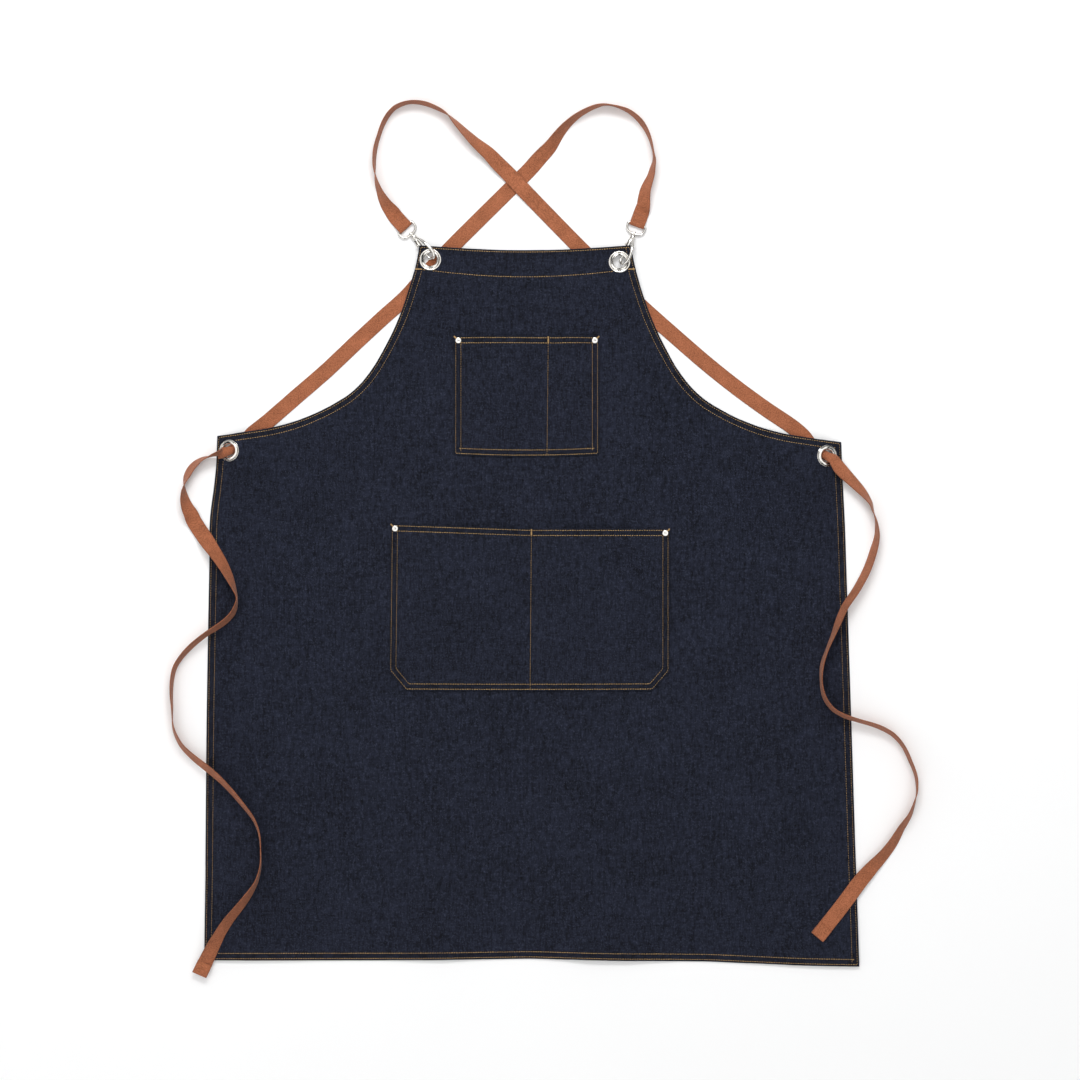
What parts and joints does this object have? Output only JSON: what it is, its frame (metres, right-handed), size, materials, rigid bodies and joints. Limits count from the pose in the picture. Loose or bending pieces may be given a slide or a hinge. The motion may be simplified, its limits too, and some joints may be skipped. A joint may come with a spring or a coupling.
{
  "type": "cross back apron",
  "caption": "Denim bib apron lying flat with crossed tape straps, swivel snap hooks, set grommets, and divided chest and hand patch pockets with riveted corners.",
  "frame": {"origin": "in the middle of the denim body, on the flat back face of its single cloth; the surface that the apron lies on is 1.2 mm lower, under the turned hems", "axes": "+X to the right as seen from the front, +Y up towards the bib, +Z out of the front"},
  "size_m": [0.932, 1.094, 0.0246],
  "materials": {
    "denim": "matt twill",
    "tape": "matt woven tape",
    "nickel": "bright plate"
  },
  "bodies": {
    "apron": {"body_panel": "denim", "chest_pocket": "denim", "hand_pocket": "denim", "rivet_chest_pocket_left": "nickel", "rivet_chest_pocket_right": "nickel", "rivet_hand_pocket_left": "nickel", "rivet_hand_pocket_right": "nickel", "eyelet_top_left": "nickel", "eyelet_top_right": "nickel", "eyelet_side_left": "nickel", "eyelet_side_right": "nickel", "washer_top_left": "nickel", "washer_top_right": "nickel", "washer_side_left": "nickel", "washer_side_right": "nickel", "strap_from_left_hook": "tape", "strap_from_right_hook": "tape", "hook_eye_left": "nickel", "hook_eye_right": "nickel"},
    "hook_left": {"hook_body_left": "nickel"},
    "bolt_left": {"hook_bolt_left": "nickel"},
    "hook_right": {"hook_body_right": "nickel"},
    "bolt_right": {"hook_bolt_right": "nickel"}
  },
  "joints": [
    {"name": "hook_left_swivel", "type": "hinge", "parent": "apron", "child": "hook_left", "pos_m": [-0.14471, 0.4579, 0.0024], "axis": [0.5878, -0.809, 0], "range_deg": [0, 12]},
    {"name": "bolt_left_slide", "type": "slide", "parent": "hook_left", "child": "bolt_left", "axis": [-0.5878, 0.809, 0], "range_m": [0, 0.006], "stiffness_N_per_m": 250, "springref_m": -0.004},
    {"name": "hook_right_swivel", "type": "hinge", "parent": "apron", "child": "hook_right", "pos_m": [0.12794, 0.45773, 0.0024], "axis": [-0.4695, -0.8829, 0], "range_deg": [0, 12]},
    {"name": "bolt_right_slide", "type": "slide", "parent": "hook_right", "child": "bolt_right", "axis": [0.4695, 0.8829, 0], "range_m": [0, 0.006], "stiffness_N_per_m": 250, "springref_m": -0.004}
  ]
}
